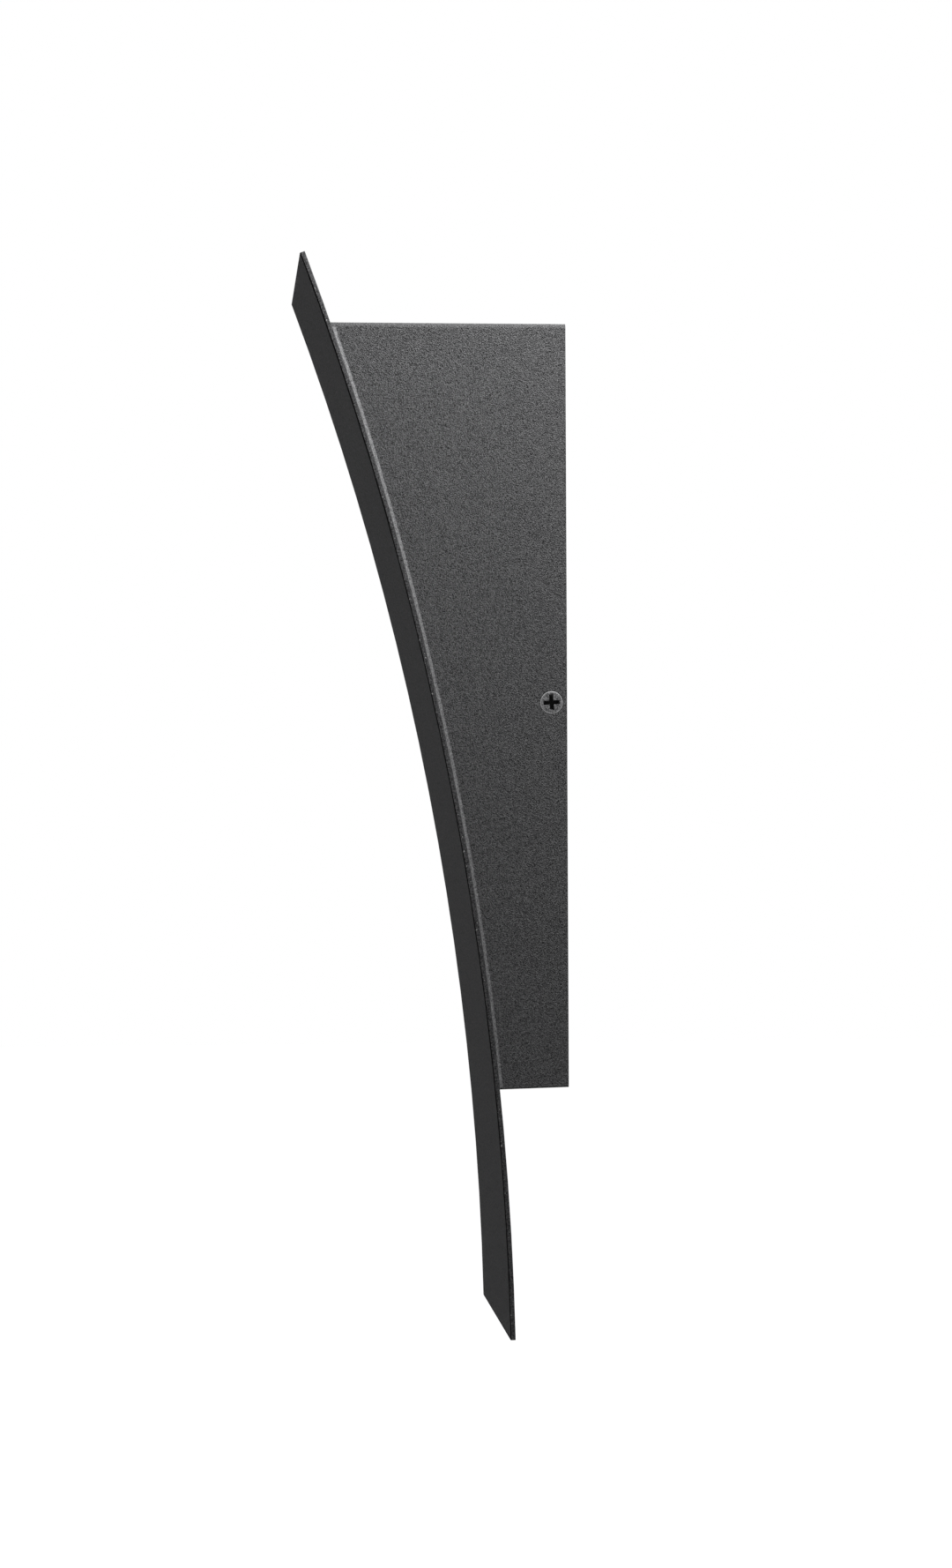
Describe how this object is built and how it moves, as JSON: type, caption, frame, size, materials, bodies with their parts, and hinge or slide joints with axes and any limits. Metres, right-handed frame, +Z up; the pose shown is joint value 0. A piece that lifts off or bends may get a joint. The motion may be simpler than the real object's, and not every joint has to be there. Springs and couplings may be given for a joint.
{
  "type": "outdoor wall light",
  "caption": "Up-and-down outdoor wall light: a wedge-shaped cast housing fixed to the wall behind a tall, slightly curved shield, lit through a window at its top and its underside.",
  "frame": {"origin": "on the wall plane, on the light's centre line, level with the two side screws", "axes": "+Z up, +Y into the wall, -Y out toward the viewer, +X to the right when the light is seen from the front"},
  "size_m": [0.127, 0.1021, 0.4167],
  "materials": {
    "textured_black": "fine textured powder coat, charcoal black, matt",
    "shield_black": "fine textured powder coat, charcoal black, satin at a low angle",
    "screw_black": "black zinc-nickel plating on steel, satin",
    "zinc_plate": "bright zinc plate on pressed steel",
    "steel_fasteners": "stainless steel",
    "green_fasteners": "green passivated steel",
    "pressed_frame": "galvanised pressed steel",
    "frosted_lens": "frosted polycarbonate",
    "silicone": "translucent grey silicone",
    "black_foam": "closed-cell foam",
    "shelf_aluminium": "mill-finish sheet",
    "board_white": "white solder mask on aluminium board",
    "lamp_yellow": "yellow phosphor under clear resin",
    "socket_white": "moulded nylon",
    "driver_white": "moulded plastic case",
    "driver_grey": "moulded plastic lid",
    "black_rubber": "moulded rubber",
    "block_cream": "moulded nylon",
    "brass_clamps": "plated brass",
    "sleeve_white": "braided sleeve over two cores",
    "core_black": "PVC insulation",
    "core_white": "PVC insulation",
    "core_green": "PVC insulation",
    "tinned_lug": "tinned copper"
  },
  "bodies": {
    "root": {"housing": "textured_black", "front_shield": "shield_black", "joint_beads": "textured_black", "shield_studs": "steel_fasteners", "shield_washers": "steel_fasteners", "shield_nuts": "steel_fasteners", "side_screws": "screw_black", "mounting_plate": "zinc_plate", "mounting_foam": "black_foam", "plate_earth_screw": "green_fasteners", "top_lens": "frosted_lens", "top_lens_seal": "silicone", "top_lens_frame": "pressed_frame", "top_frame_screws": "steel_fasteners", "bottom_lens": "frosted_lens", "bottom_lens_seal": "silicone", "bottom_lens_frame": "pressed_frame", "bottom_frame_screws": "steel_fasteners", "upper_shelf": "shelf_aluminium", "lower_shelf": "shelf_aluminium", "shelf_screws": "steel_fasteners", "upper_lamp_board": "board_white", "upper_lamps": "lamp_yellow", "lower_lamp_board": "board_white", "lower_lamps": "lamp_yellow", "board_screws": "steel_fasteners", "board_sockets": "socket_white", "driver_case": "driver_white", "driver_lid": "driver_grey", "driver_screws": "steel_fasteners", "driver_grommets": "black_rubber", "terminal_block": "block_cream", "terminal_screws": "brass_clamps", "block_screws": "steel_fasteners", "upper_lead": "sleeve_white", "lower_lead": "sleeve_white", "live_lead": "core_black", "neutral_lead": "core_white", "earth_lead": "core_green", "earth_lug": "tinned_lug", "earth_lug_screw": "green_fasteners"}
  },
  "joints": []
}
